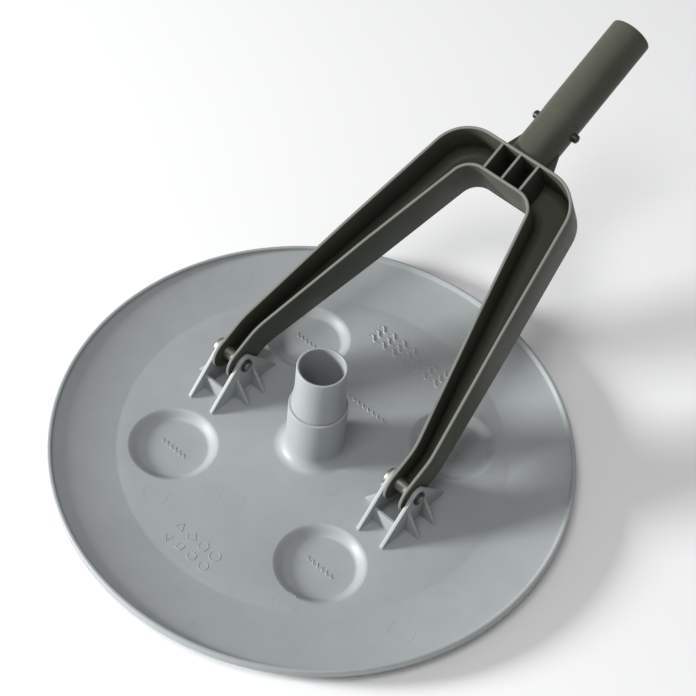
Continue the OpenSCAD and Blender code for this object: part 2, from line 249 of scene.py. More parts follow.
def mix(tree, a, b, factor, mode="MIX"):
    """Mixes two colours; each may be a socket or an (r, g, b)."""
    node = tree.nodes.new("ShaderNodeMix")
    node.data_type = "RGBA"
    node.blend_type = mode
    for socket, value in (("A", a), ("B", b)):
        target = [s for s in node.inputs if s.name == socket and s.type == "RGBA"][0]
        if isinstance(value, tuple):
            target.default_value = (*value, 1.0)
        else:
            tree.links.new(value, target)
    if isinstance(factor, float):
        node.inputs["Factor"].default_value = factor
    else:
        tree.links.new(factor, node.inputs["Factor"])
    return [s for s in node.outputs if s.type == "RGBA"][0]


def bump(tree, shader, layers):
    """Chains bump layers of (height socket, strength, distance in metres)."""
    last = None
    for height, strength, distance in layers:
        node = tree.nodes.new("ShaderNodeBump")
        node.inputs["Strength"].default_value = strength
        node.inputs["Distance"].default_value = distance
        tree.links.new(height, node.inputs["Height"])
        if last is not None:
            tree.links.new(last, node.inputs["Normal"])
        last = node.outputs["Normal"]
    tree.links.new(last, shader.inputs["Normal"])


def calc(tree, operation, a, b=0.0, c=0.0):
    """A math node; each operand is a socket or a number."""
    node = tree.nodes.new("ShaderNodeMath")
    node.operation = operation
    for socket, value in zip(node.inputs, (a, b, c)):
        if isinstance(value, float):
            socket.default_value = value
        else:
            tree.links.new(value, socket)
    return node.outputs["Value"]


# %% [markdown]
# ## The grey plastic of the disc
# The disc, collar and hose tail are injection-moulded in a pale grey plastic with a
# satin spark-eroded texture. Large soft clouds stand for the flow of the melt, fine
# grain for the tool's texture, and a few stretched hairlines for handling scratches.

# %% Disc plastic
def disc_plastic_material():
    material, tree, shader, coords = new_material("disc_plastic")
    clouds = noise(tree, coords, 9.0, 2.0)
    flow = noise(tree, coords, 60.0, 4.0, 0.6, (1.0, 1.0, 0.4))
    grain = noise(tree, coords, 2600.0, 2.0, 0.6)
    hair = noise(tree, coords, 420.0, 3.0, 0.5, (1.0, 0.05, 1.0))
    base = ramp(tree, clouds, [(0.3, (0.330, 0.350, 0.356)), (0.7, (0.362, 0.384, 0.388))])
    stain = ramp(tree, flow, [(0.35, (0.93, 0.94, 0.93)), (0.6, (1.0, 1.0, 1.0))])
    colour = mix(tree, base, stain, 0.5, "MULTIPLY")
    specks = ramp(tree, grain, [(0.3, (0.94, 0.94, 0.94)), (0.7, (1.0, 1.0, 1.0))])
    colour = mix(tree, colour, specks, 0.6, "MULTIPLY")
    tree.links.new(colour, shader.inputs["Base Color"])
    rough = ramp(tree, flow, [(0.3, 0.40), (0.7, 0.52)])
    scratch = ramp(tree, hair, [(0.66, 0.0), (0.72, 0.12)])
    rough = mix(tree, rough, scratch, 0.5, "ADD")
    tree.links.new(rough, shader.inputs["Roughness"])
    shader.inputs["Specular IOR Level"].default_value = 0.5
    shader.inputs["Subsurface Weight"].default_value = 0.04
    shader.inputs["Subsurface Radius"].default_value = (0.002, 0.002, 0.002)
    bump(tree, shader, [(grain, 0.10, 0.0002), (flow, 0.08, 0.001)])
    return material


disc_plastic = disc_plastic_material()
print("made", disc_plastic.name)

# %% [markdown]
# ## The charcoal plastic of the fork
# The fork and its tube are moulded in a dark grey with a warm, slightly green cast.
# The thin top edges of the channel's walls get a painted highlight: a paler grey stands in for the light that
# their rounded tops catch. The material finds them itself: it turns the object's coordinates into the fork's
# own
#  plane and compares the height there with half the channel's depth.

# %% Fork plastic
# How deep and how soft the painted highlight on the walls' top edges is.
HIGHLIGHT_DEPTH = 0.9 * MM
HIGHLIGHT_FADE = 0.4 * MM


def rim_highlight_mask(tree, coords):
    """One on the top edges of the channel's walls, where the painted highlight goes, nought elsewhere."""
    c, s = math.cos(REST_TILT), math.sin(REST_TILT)
    split = tree.nodes.new("ShaderNodeSeparateXYZ")
    tree.links.new(coords, split.inputs["Vector"])
    y, z = split.outputs["Y"], calc(tree, "SUBTRACT", split.outputs["Z"], PIVOT_Z * MM)
    along = calc(tree, "ADD", calc(tree, "MULTIPLY", y, c), calc(tree, "MULTIPLY", z, s))
    above = calc(tree, "SUBTRACT", calc(tree, "MULTIPLY", z, c), calc(tree, "MULTIPLY", y, s))
    grow = calc(tree, "DIVIDE", along, TAPER * MM)
    grow = calc(tree, "MAXIMUM", calc(tree, "MINIMUM", grow, 1.0), 0.0)
    depth = calc(tree, "MULTIPLY_ADD", grow, (FORK_HALF - ARM_END_R) * MM, ARM_END_R * MM)
    behind = calc(tree, "MINIMUM", along, 0.0)
    squares = calc(tree, "ADD", calc(tree, "MULTIPLY", behind, behind), calc(tree, "MULTIPLY", above, above))
    short = calc(tree, "SUBTRACT", calc(tree, "SQRT", squares), depth)
    edge = calc(tree, "DIVIDE", calc(tree, "ADD", short, HIGHLIGHT_DEPTH), HIGHLIGHT_FADE)
    edge = calc(tree, "MINIMUM", calc(tree, "MAXIMUM", edge, 0.0), 1.0)
    upper = calc(tree, "DIVIDE", calc(tree, "ADD", above, 0.008), 0.002)
    return calc(tree, "MINIMUM", calc(tree, "MAXIMUM", upper, 0.0), edge)


def fork_plastic_material():
    material, tree, shader, coords = new_material("fork_plastic")
    clouds = noise(tree, coords, 14.0, 3.0)
    flow = noise(tree, coords, 90.0, 4.0, 0.6, (1.0, 0.25, 0.35))
    grain = noise(tree, coords, 2200.0, 2.0, 0.65)
    hair = noise(tree, coords, 500.0, 2.0, 0.5, (1.0, 0.06, 0.1))
    base = ramp(tree, clouds, [(0.3, (0.060, 0.064, 0.048)), (0.7, (0.082, 0.086, 0.066))])
    stain = ramp(tree, flow, [(0.3, (0.86, 0.86, 0.86)), (0.65, (1.0, 1.0, 1.0))])
    colour = mix(tree, base, stain, 0.6, "MULTIPLY")
    # Painted highlight: a paler grey on the walls' top edges stands in for the light that their rounded tops
    # catch.
    colour = mix(tree, colour, (0.175, 0.182, 0.160), rim_highlight_mask(tree, coords))
    tree.links.new(colour, shader.inputs["Base Color"])
    rough = ramp(tree, flow, [(0.3, 0.42), (0.7, 0.54)])
    scratch = ramp(tree, hair, [(0.64, 0.0), (0.70, 0.15)])
    rough = mix(tree, rough, scratch, 0.5, "ADD")
    tree.links.new(rough, shader.inputs["Roughness"])
    shader.inputs["Specular IOR Level"].default_value = 0.18
    bump(tree, shader, [(grain, 0.14, 0.0002), (flow, 0.10, 0.001)])
    return material


fork_plastic = fork_plastic_material()
print("made", fork_plastic.name)

# %% [markdown]
# ## Metal, rubber and black caps
# The pins are drawn steel, dulled by pool water. Long stretched noise along the pin
# gives the drawing marks, and broad noise the faint brown bloom.

# %% Steel
def steel_material(name, tint, stretch, smooth, dull):
    material, tree, shader, coords = new_material(name)
    draw = noise(tree, coords, 900.0, 3.0, 0.6, stretch)
    bloom = noise(tree, coords, 160.0, 4.0, 0.6)
    base = ramp(tree, bloom, [(0.35, tint), (0.7, tuple(c * 0.72 for c in tint))])
    tree.links.new(base, shader.inputs["Base Color"])
    shader.inputs["Metallic"].default_value = 1.0
    rough = ramp(tree, draw, [(0.3, smooth), (0.7, dull)])
    tree.links.new(rough, shader.inputs["Roughness"])
    bump(tree, shader, [(draw, 0.12, 0.0003)])
    return material


pin_steel = steel_material("pin_steel", (0.36, 0.35, 0.31), (0.08, 1.0, 1.0), 0.40, 0.58)
spring_steel = steel_material("spring_steel", (0.62, 0.62, 0.63), (1.0, 0.1, 0.2), 0.24, 0.42)


# %% Black plastic, rubber and buttons
def dark_material(name, low_tint, high_tint, rough_low, rough_high, grain_scale):
    material, tree, shader, coords = new_material(name)
    clouds = noise(tree, coords, 180.0, 4.0)
    grain = noise(tree, coords, grain_scale, 2.0, 0.6)
    base = ramp(tree, clouds, [(0.3, low_tint), (0.7, high_tint)])
    tree.links.new(base, shader.inputs["Base Color"])
    tree.links.new(ramp(tree, clouds, [(0.3, rough_low), (0.7, rough_high)]), shader.inputs["Roughness"])
    bump(tree, shader, [(grain, 0.15, 0.0002)])
    return material


black_plastic = dark_material(
    "black_plastic", (0.010, 0.010, 0.010), (0.020, 0.019, 0.018), 0.35, 0.5, 2600.0
)
seal_rubber = dark_material(
    "seal_rubber", (0.012, 0.012, 0.012), (0.022, 0.022, 0.022), 0.6, 0.75, 3200.0
)
button_plastic = dark_material(
    "button_plastic", (0.022, 0.019, 0.016), (0.036, 0.031, 0.026), 0.22, 0.34, 3000.0
)
print("made", [m.name for m in (pin_steel, spring_steel, black_plastic, seal_rubber, button_plastic)])

# %% [markdown]
# ## The disc moulding
# The disc is one injection moulding: flat middle, dished edge, raised lip, four round
# pockets, the collar and the brackets. Everything round is revolved. The flat middle
# is filled between the round borders by a constrained triangulation, so the pockets
# and the collar flow into it with no seam and no boolean.

# %% Flat sheets with round holes
RIM_STEPS = 288
POCKET_STEPS = 96
COLLAR_STEPS = 128


def circle_points(r, steps, centre=(0.0, 0.0)):
    angles = [2.0 * math.pi * i / steps for i in range(steps)]
    return [Vector((centre[0] + r * math.cos(a), centre[1] + r * math.sin(a))) for a in angles]


def flat_sheet(bm, outer_r, holes, height):
    """A flat ring of triangles at one height; holes are (radius, steps, centre)."""
    points, edges = [], []
    for r, steps, centre in [(outer_r, RIM_STEPS, (0.0, 0.0))] + holes:
        first = len(points)
        points += circle_points(r, steps, centre)
        edges += [(first + i, first + (i + 1) % steps) for i in range(steps)]
    verts, _, faces, _, _, _ = delaunay_2d_cdt(points, edges, [], 0, 1e-6)
    made = [bm.verts.new((v.x, v.y, height)) for v in verts]
    for face in faces:
        mid = sum((verts[i] for i in face), Vector((0.0, 0.0))) / len(face)
        inside = mid.length < outer_r
        clear = all((mid - Vector(c)).length > r for r, _, c in holes)
        if inside and clear:
            bm.faces.new([made[i] for i in face])


foot_centres = [(sx * FOOT_XY, sy * FOOT_XY) for sx in (-1, 1) for sy in (-1, 1)]
print("feet at", [tuple(round(c, 1) for c in f) for f in foot_centres])

# %% The disc's profiles
def pocket_profile(mouth_r, floor_r, depth, top):
    """From the mouth down a soft S-shaped wall to the flat floor."""
    pts = []
    for i in range(17):
        t = i / 16
        pts.append((mouth_r + (floor_r - mouth_r) * t, top - depth * (t * t * (3.0 - 2.0 * t))))
    return pts + [(floor_r * 0.5, top - depth), (0.0, top - depth)]


def build_disc(bm):
    mouth_r = POCKET_MOUTH_R
    foot_r = POCKET_MOUTH_R + 0.8
    collar_foot_r = COLLAR_R + COLLAR_FILLET
    bore_edge_r = COLLAR_BORE_R + 0.4
    crease = 0.8
    top_holes = [(mouth_r, POCKET_STEPS, c) for c in foot_centres]
    top_holes += [(collar_foot_r, COLLAR_STEPS, (0.0, 0.0))]
    under_holes = [(foot_r, POCKET_STEPS, c) for c in foot_centres]
    under_holes += [(bore_edge_r, COLLAR_STEPS, (0.0, 0.0))]
    flat_sheet(bm, FLAT_R - crease, top_holes, 0.0)
    flat_sheet(bm, FLAT_R - crease, under_holes, -WALL)
    rise = DISH_RISE / (LIP_R - FLAT_R)
    edge = [(FLAT_R - crease, 0.0), (FLAT_R - crease * 0.4, crease * 0.007)]
    edge += [(FLAT_R + crease * 0.4, crease * 0.057), (FLAT_R + crease, crease * rise)]
    edge += [(LIP_R - 1.6, DISH_RISE - 1.6 * rise)]
    edge += [(LIP_R - 0.8, DISH_RISE + 0.10), (LIP_R - 0.25, DISH_RISE + 0.55), (LIP_R, DISH_RISE + 1.2)]
    edge += arc(LIP_R + 0.9, LIP_TOP - 0.9, 0.9, 180.0, 90.0, 5)
    edge += arc(DISC_R - 0.9, LIP_TOP - 0.9, 0.9, 90.0, 0.0, 5)
    edge += [(DISC_R, DISH_RISE - WALL + 1.4)]
    edge += arc(DISC_R - 0.6, DISH_RISE - WALL + 0.6, 0.6, 0.0, -90.0, 4)
    edge += [(LIP_R - 1.6, DISH_RISE - WALL - 1.6 * rise), (FLAT_R + crease, crease * rise - WALL)]
    edge += [(FLAT_R, crease * 0.05 - WALL), (FLAT_R - crease, -WALL)]
    revolve(bm, edge, RIM_STEPS)
    for c in foot_centres:
        revolve(bm, pocket_profile(mouth_r, POCKET_FLOOR_R - 0.5, POCKET_DEPTH, 0.0), POCKET_STEPS, c)
        revolve(bm, pocket_profile(foot_r, POCKET_FLOOR_R - 0.2, POCKET_DEPTH, -WALL), POCKET_STEPS, c)
    wall = arc(collar_foot_r, COLLAR_FILLET, COLLAR_FILLET, 270.0, 180.0, 14)
    wall += arc(COLLAR_R - 0.6, COLLAR_H - 0.6, 0.6, 0.0, 90.0, 4)
    wall += arc(COLLAR_BORE_R + 0.4, COLLAR_H - 0.4, 0.4, 90.0, 180.0, 3)
    groove_r = COLLAR_BORE_R + SEAL_GROOVE
    wall += [(COLLAR_BORE_R, SEAL_HIGH), (groove_r, SEAL_HIGH)]
    wall += [(groove_r, SEAL_LOW), (COLLAR_BORE_R, SEAL_LOW)]
    wall += arc(bore_edge_r, -WALL + 0.4, 0.4, 180.0, 270.0, 3)
    revolve(bm, wall, COLLAR_STEPS)


# %% [markdown]
# ## The brackets
# Each bracket is a pair of A-shaped ears with a round top for the pin, two cross webs
# and two triangular gussets on each outer side. They are plates with rounded edges,
# sunk into the disc, so each junction looks moulded.

# %% Bracket plates
EAR_T = 2.6
ARM_GAP = ARM_W + 2 * PAD_T + 2 * SIDE_PLAY
EAR_TOP_R = 7.1
EAR_FOOT = 30.0
EAR_TOE = 1.8
WEB_Y = 16.3
WEB_H = 12.0
RIB_T = 2.2
GUSSET_Y = 7.5
GUSSET_H = 18.0
GUSSET_FOOT = 11.5
SINK = 1.2
PIN_R = 4.5


def ear_outline():
    """The ear's side view, counter-clockwise: feet, then round the pin."""
    rise = PIVOT_Z - EAR_TOE
    lean = math.acos(EAR_TOP_R / math.hypot(EAR_FOOT, rise)) - math.atan2(rise, EAR_FOOT)
    touch = math.degrees(lean)
    top = arc(0.0, PIVOT_Z, EAR_TOP_R, touch, 180.0 - touch, 24)
    return [(-EAR_FOOT, -SINK), (EAR_FOOT, -SINK), (EAR_FOOT, EAR_TOE)] + top + [(-EAR_FOOT, EAR_TOE)]


def foot_fillet(bm, y0, y1, x, side):
    """A small concave fillet where an ear meets the disc."""
    r = 1.1
    hollow = [(r - r * math.sin(a), r - r * math.cos(a)) for a in (0.0, 0.5, 1.0, math.pi / 2)]
    profile = [(0.0, -0.3), (r, -0.02)] + hollow + [(0.0, r)]
    rings = []
    for y in (y0, y1):
        rings.append([bm.verts.new((x + side * (p[0] - 0.05), y, p[1])) for p in profile])
    n = len(profile)
    for i in range(n):
        j = (i + 1) % n
        bm.faces.new((rings[0][i], rings[0][j], rings[1][j], rings[1][i]))
    bm.faces.new(rings[0][::-1])
    bm.faces.new(rings[1])


def build_bracket(bm, x0):
    for side in (-1, 1):
        mid = x0 + side * (ARM_GAP + EAR_T) / 2
        outline_plate(bm, ear_outline(), EAR_T, 0.35, lambda y, z, t, mid=mid: (mid + t, y, z))
        outer = x0 + side * (ARM_GAP / 2 + EAR_T)
        gusset = [(-0.4, -SINK), (GUSSET_FOOT, -SINK), (GUSSET_FOOT, 0.3), (-0.4, GUSSET_H)]
        for y in (-GUSSET_Y, GUSSET_Y):
            outline_plate(bm, gusset, RIB_T, 0.3, lambda a, z, t, y=y: (outer + side * a, y + t, z))
        foot_fillet(bm, -EAR_FOOT + 0.6, EAR_FOOT - 0.6, outer, side)
        foot_fillet(bm, -EAR_FOOT + 0.6, EAR_FOOT - 0.6, x0 + side * ARM_GAP / 2, -side)
        reach = ARM_GAP / 2 + 0.4
        web = [(-reach, -SINK), (reach, -SINK), (reach, WEB_H), (-reach, WEB_H)]
        outline_plate(bm, web, RIB_T, 0.3, lambda a, z, t: (x0 + a, side * WEB_Y + t, z))


# %% Make the disc piece
disc_bm = bmesh.new()
build_disc(disc_bm)
for x0 in (-PIVOT_X, PIVOT_X):
    build_bracket(disc_bm, x0)
disc = make_piece("disc_moulding", disc_bm, disc_plastic)
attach(disc, "disc")
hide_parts("suction_disc")

# %% [markdown]
# ## The hose tail and what holds it
# The tail is a thin stepped tube that turns in the collar. A ring seal sits in the
# collar's groove and a clip ring holds the tail from below. All are bodies of
# revolution, so one closed profile each is enough; the clip has a slot cut out.

# %% Hose tail
TAIL_R = 16.0
TAIL_BORE_R = 14.3
TAIL_LOW_R = COLLAR_BORE_R - 0.08
SHOULDER_R = 17.5
TAIL_TOP = 78.6
TAIL_GRIP = 20.0
CLIP_TOP = -WALL - 0.3
CLIP_T = 1.6
CLIP_R = COLLAR_BORE_R + 3.7
CLIP_GROOVE_R = TAIL_LOW_R - 1.1
TAIL_BOTTOM = CLIP_TOP - CLIP_T - 0.7


def tail_profile():
    clip_bottom = CLIP_TOP - CLIP_T
    pts = [(TAIL_BORE_R, TAIL_BOTTOM + 0.3), (TAIL_BORE_R + 0.3, TAIL_BOTTOM)]
    pts += [(TAIL_LOW_R - 0.3, TAIL_BOTTOM), (TAIL_LOW_R, TAIL_BOTTOM + 0.3)]
    pts += [(TAIL_LOW_R, clip_bottom), (CLIP_GROOVE_R, clip_bottom), (CLIP_GROOVE_R, CLIP_TOP)]
    pts += [(TAIL_LOW_R, CLIP_TOP), (TAIL_LOW_R, COLLAR_H + 0.1), (SHOULDER_R - 0.4, COLLAR_H + 0.1)]
    pts += arc(SHOULDER_R - 0.4, COLLAR_H + 0.5, 0.4, 270.0, 360.0, 3)[1:]
    pts += [(SHOULDER_R, COLLAR_H + 1.8), (SHOULDER_R - 0.08, COLLAR_H + 2.6)]
    pts += [(TAIL_R + 0.05, TAIL_TOP - TAIL_GRIP - 1.2), (TAIL_R, TAIL_TOP - TAIL_GRIP)]
    pts += arc(TAIL_R - 0.75, TAIL_TOP - 0.75, 0.75, 0.0, 90.0, 5)
    pts += arc(TAIL_BORE_R + 0.6, TAIL_TOP - 0.6, 0.6, 90.0, 180.0, 5)
    return pts


tail_bm = bmesh.new()
revolve(tail_bm, tail_profile(), 160, closed=True)
tail = make_piece("hose_tail_tube", tail_bm, disc_plastic, math.radians(40.0))
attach(tail, "tail")
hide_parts("hose_tail")

# %% Seal and clip ring
seal_bm = bmesh.new()
SEAL_MID_R = (TAIL_LOW_R + COLLAR_BORE_R + SEAL_GROOVE) / 2
SEAL_MID_Z = (SEAL_LOW + SEAL_HIGH) / 2
seal_turns = [2 * math.pi * i / 16 for i in range(16)]
seal_loop = [(SEAL_MID_R + 0.50 * math.cos(a), SEAL_MID_Z + 1.1 * math.sin(a)) for a in seal_turns]
revolve(seal_bm, seal_loop, 128, closed=True)
seal = make_piece("tail_seal_ring", seal_bm, seal_rubber)
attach(seal, "disc")
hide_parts("tail_seal")


def clip_outline():
    """A C shape open towards +X."""
    gap_half = CLIP_GROOVE_R * 0.55
    outer = math.degrees(math.asin(gap_half / CLIP_R))
    inner_r = CLIP_GROOVE_R + 0.02
    inner = math.degrees(math.asin(gap_half / inner_r))
    return arc(0, 0, CLIP_R, outer, 360 - outer, 90) + arc(0, 0, inner_r, 360 - inner, inner, 72)


clip_bm = bmesh.new()
outline_plate(clip_bm, clip_outline(), CLIP_T, 0.15, lambda x, y, t: (x, y, CLIP_TOP - CLIP_T / 2 + t))
clip = make_piece("clip_ring", clip_bm, disc_plastic)
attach(clip, "tail")
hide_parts("tail_clip_ring")

# %% [markdown]
# ## Pins and push-on rings
# Each pin is a turned steel rivet: a domed head on the left, a thick barrel on which
# the arm turns, and a thin neck through the right-hand ear. A black ring is pushed on
# the neck, where a little steel stands out.

# %% Pivot pins
EAR_OUT = ARM_GAP / 2 + EAR_T
NECK_R = 2.6
RING_T = 1.8
RING_R = NECK_R + 2.0
HEAD_R = PIN_R + 1.4
HEAD_T = 3.0
STEP_AT = ARM_GAP / 2 - 0.05
PIN_END = EAR_OUT + RING_T + 0.5


def across_pivot(side):
    """Turns a shape revolved about Z so that its axis is the pivot axis."""
    turn = Matrix.Rotation(math.radians(90.0), 4, "Y")
    return Matrix.Translation((side * PIVOT_X, 0.0, PIVOT_Z)) @ turn


def pin_profile():
    """From the middle of the head to the middle of the neck's end."""
    crown = -EAR_OUT - HEAD_T
    dome = (0.0, 0.4, 0.8, 1.2, 1.57)
    pts = [(0.0, crown)]
    pts += [(HEAD_R - 1.6 + 1.6 * math.sin(a), crown + 1.5 - 1.5 * math.cos(a)) for a in dome]
    pts += [(HEAD_R, -EAR_OUT - 0.3), (HEAD_R - 0.3, -EAR_OUT), (PIN_R, -EAR_OUT)]
    pts += [(PIN_R, STEP_AT - 0.3), (PIN_R - 0.3, STEP_AT), (NECK_R, STEP_AT)]
    return pts + arc(NECK_R - 0.4, PIN_END - 0.4, 0.4, 0.0, 90.0, 4) + [(0.0, PIN_END)]


for side, word in ((-1, "left"), (1, "right")):
    pin_bm = bmesh.new()
    revolve(pin_bm, pin_profile(), 64)
    pin = make_piece("pivot_pin_steel_" + word, pin_bm, pin_steel, place=across_pivot(side))
    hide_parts("pivot_pin_" + word)

    ring_bm = bmesh.new()
    ring_bore_r = NECK_R + 0.01
    ring_shape = [(ring_bore_r, EAR_OUT), (RING_R - 0.2, EAR_OUT), (RING_R, EAR_OUT + 0.2)]
    ring_shape += [(RING_R, EAR_OUT + RING_T * 0.55)]
    ring_shape += arc(RING_R - 0.6, EAR_OUT + RING_T - 0.6, 0.6, 0.0, 90.0, 4)
    ring_shape += [(ring_bore_r, EAR_OUT + RING_T)]
    revolve(ring_bm, ring_shape, 48, closed=True)
    ring = make_piece("push_ring_" + word, ring_bm, black_plastic, place=across_pivot(side))
    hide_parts("pin_ring_" + word)
    for piece in (pin, ring):
        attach(piece, "disc")

# %% [markdown]
# ## The fork
# The fork is a thin channel bent into a yoke: two walls that follow the yoke's plan,
# a floor between them, three ribs in the crown, and the pole tube. The plan is drawn
# in the fork's own plane, u across, v along the arms, w square to both, and a wall is
# swept along it with a rounded top edge.

# %% The fork's plan
def fork_point(u, v, w):
    """From the fork's plane to the frame, in millimetres."""
    c, s = math.cos(REST_TILT), math.sin(REST_TILT)
    return (u, v * c - w * s, PIVOT_Z + v * s + w * c)


def half_depth(v):
    """Half the channel's depth at a distance v from the pivot."""
    if v < 0.0:
        return math.sqrt(max(ARM_END_R**2 - v**2, 0.0004))
    return ARM_END_R + (FORK_HALF - ARM_END_R) * min(v / TAPER, 1.0)


def corner_points(p0, p1, p2, r, steps):
    """An arc of radius r that rounds the corner p1."""
    a, b = (p0 - p1).normalized(), (p2 - p1).normalized()
    half = a.angle(b) / 2.0
    centre = p1 + (a + b).normalized() * (r / math.sin(half))
    start, end = p1 + a * (r / math.tan(half)), p1 + b * (r / math.tan(half))
    t0 = math.atan2(*(start - centre).yx)
    turn = math.atan2(*(end - centre).yx) - t0
    turn = (turn + math.pi) % (2.0 * math.pi) - math.pi
    angles = [t0 + turn * i / steps for i in range(steps + 1)]
    return [centre + Vector((math.cos(a), math.sin(a))) * r for a in angles]


def plan_half(shape):
    """The right half of an outline, from the arm's end to the crown's middle."""
    end = Vector((shape["arm"], -ARM_END_R))
    bend = Vector((shape["arm"], BEND_V))
    corner = Vector((shape["crown"], shape["top"]))
    middle = Vector((0.0, shape["top"]))
    round_end = [math.radians(a) for a in (4, 12, 20, 28, 37, 46, 56, 66, 78, 90)]
    pts = [Vector((shape["arm"], -ARM_END_R * math.cos(a))) for a in round_end]
    pts.append(Vector((shape["arm"], FLOOR_START)))
    first = corner_points(end, bend, corner, 60.0, 10)
    second = corner_points(bend, corner, middle, shape["corner"], 22)
    straight = [first[-1].lerp(second[0], i / 24) for i in range(1, 24)]
    crown = [second[-1].lerp(middle, i / 6) for i in range(1, 7)]
    return pts + [Vector((shape["arm"], 10.0))] + first + straight + second + crown


def plan_line(shape):
    """The whole outline, right arm first, with its inward normals."""
    right = plan_half(shape)
    pts = right + [Vector((-p.x, p.y)) for p in reversed(right[:-1])]
    normals = []
    for i, p in enumerate(pts):
        ahead, behind = pts[min(i + 1, len(pts) - 1)], pts[max(i - 1, 0)]
        along = (ahead - behind).normalized()
        normals.append(Vector((-along.y, along.x)))
    return pts, normals


outer_line, outer_normals = plan_line(OUTER)
inner_line, inner_normals = plan_line(INNER)
floor_first = next(i for i, p in enumerate(outer_line) if abs(p.y - FLOOR_START) < 1e-6)
print("stations along the fork:", len(outer_line))

# %% Sweep the channel
def sweep(bm, sections):
    """Joins closed loops of points, one per station, and caps both ends."""
    rings = [[bm.verts.new(fork_point(*p)) for p in section] for section in sections]
    n = len(rings[0])
    for a, b in zip(rings, rings[1:]):
        for i in range(n):
            j = (i + 1) % n
            bm.faces.new((a[i], a[j], b[j], b[i]))
    bm.faces.new(rings[0])
    bm.faces.new(list(reversed(rings[-1])))


def wall_section(point, inward, sign):
    """A wall standing on the floor; sign says which side of the line it is on."""
    h = half_depth(point.y)
    r = min(0.55, h * 0.4)
    face = [(r, -h), (0.3 * r, -h + 0.3 * r), (0.0, -h + r), (0.0, 0.0)]
    face += [(0.0, h - r), (0.3 * r, h - 0.3 * r), (r, h)]
    prof = face + [(FORK_WALL - d, w) for d, w in reversed(face)]
    return [(point.x + inward.x * sign * d, point.y + inward.y * sign * d, w) for d, w in prof]


def floor_section(outer, inner):
    """The floor between two matched points, with wide fillets up the walls."""
    h = half_depth((outer.y + inner.y) / 2.0)
    span = inner - outer
    width = span.length
    along = span / width
    r = min(6.5, 0.44 * (width - 2 * FORK_WALL))
    turns = [math.pi / 2 * i / 8 for i in range(9)]
    left = [(1.0, FORK_FLOOR + r)]
    left += [(FORK_WALL + r - r * math.cos(a), FORK_FLOOR + r - r * math.sin(a)) for a in turns]
    prof = left + [(width - d, z) for d, z in reversed(left)] + [(width - 1.0, 0.02), (1.0, 0.02)]
    return [(outer.x + along.x * d, outer.y + along.y * d, -h + z) for d, z in prof]


fork_bm = bmesh.new()
sweep(fork_bm, [wall_section(p, n, 1.0) for p, n in zip(outer_line, outer_normals)])
sweep(fork_bm, [wall_section(p, n, -1.0) for p, n in zip(inner_line, inner_normals)])
floor_pairs = list(zip(outer_line, inner_line))[floor_first : len(outer_line) - floor_first]
sweep(fork_bm, [floor_section(a, b) for a, b in floor_pairs])

# %% [markdown]
# The pads that centre an arm between its ears are short rings round the pin. The pole
# tube is a revolved wall whose axis lies in the fork's plane, with two flat side
# gussets at the crown.

# %% Pads, ribs, tube and gussets
TUBE_R = 14.5
TUBE_BORE_R = 12.1
TUBE_ROOT_R = TUBE_R - 0.2
ROOT_END_V = 253.0
TUBE_END_V = 328.5
RIB_PITCH = 14.6
TUBE_GUSSET_W = 6.0
TUBE_GUSSET_L = 18.0


def along_arms():
    """Turns a shape revolved about Z so that its axis runs along the fork's v."""
    lay = Matrix.Rotation(math.radians(-90.0), 4, "X")
    lean = Matrix.Rotation(REST_TILT, 4, "X")
    return Matrix.Translation((0.0, 0.0, PIVOT_Z)) @ lean @ lay


def add_revolved(bm, profile, steps, place, closed):
    """Revolves a profile and moves only its own vertices into place."""
    before = set(bm.verts)
    revolve(bm, profile, steps, closed=closed)
    bmesh.ops.transform(bm, matrix=place, verts=[v for v in bm.verts if v not in before])


for side in (-1, 1):
    for face in (-1, 1):
        hole_r = PIN_R + 0.05
        inside = ARM_W / 2 - FORK_WALL / 2
        outside = ARM_W / 2 + PAD_T
        pad = [(hole_r, face * inside), (EAR_TOP_R, face * inside), (EAR_TOP_R, face * (outside - 0.25))]
        pad += [(EAR_TOP_R - 0.25, face * outside), (hole_r, face * outside)]
        add_revolved(fork_bm, pad, 48, across_pivot(side), True)

tube_wall = [(0.0, CROWN_V - 1.0), (TUBE_ROOT_R, CROWN_V - 1.0), (TUBE_ROOT_R, ROOT_END_V)]
tube_wall += [(TUBE_R, ROOT_END_V + 0.2), (TUBE_R, TUBE_END_V - 0.5)]
tube_wall += arc(TUBE_R - 0.5, TUBE_END_V - 0.5, 0.5, 0.0, 90.0, 4)[1:]
tube_wall += arc(TUBE_BORE_R + 0.4, TUBE_END_V - 0.4, 0.4, 90.0, 180.0, 4)
tube_wall += [(TUBE_BORE_R, CROWN_V + 1.0), (0.0, CROWN_V + 1.0)]
add_revolved(fork_bm, tube_wall, 96, along_arms(), False)

for side in (-1, 1):
    gusset = [(TUBE_R - 1.0, CROWN_V - 1.0), (TUBE_R + TUBE_GUSSET_W, CROWN_V - 1.0)]
    gusset += [(TUBE_R + TUBE_GUSSET_W, CROWN_V + 1.2)]
    gusset += [(TUBE_R - 0.4, CROWN_V + TUBE_GUSSET_L), (TUBE_R - 1.0, CROWN_V + TUBE_GUSSET_L)]
    outline_plate(fork_bm, gusset, 2.4, 0.3, lambda a, v, t: fork_point(side * a, v, t))

fork_piece = make_piece("fork_and_pole_tube", fork_bm, fork_plastic)
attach(fork_piece, "fork_and_tube")
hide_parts("fork")

# %% [markdown]
# ## Repeating ribs with Geometry Nodes
# The crown's three ribs are the same plate at an even pitch. A small tree places a
# source plate on a line of points, realizes the copies and sets the material.

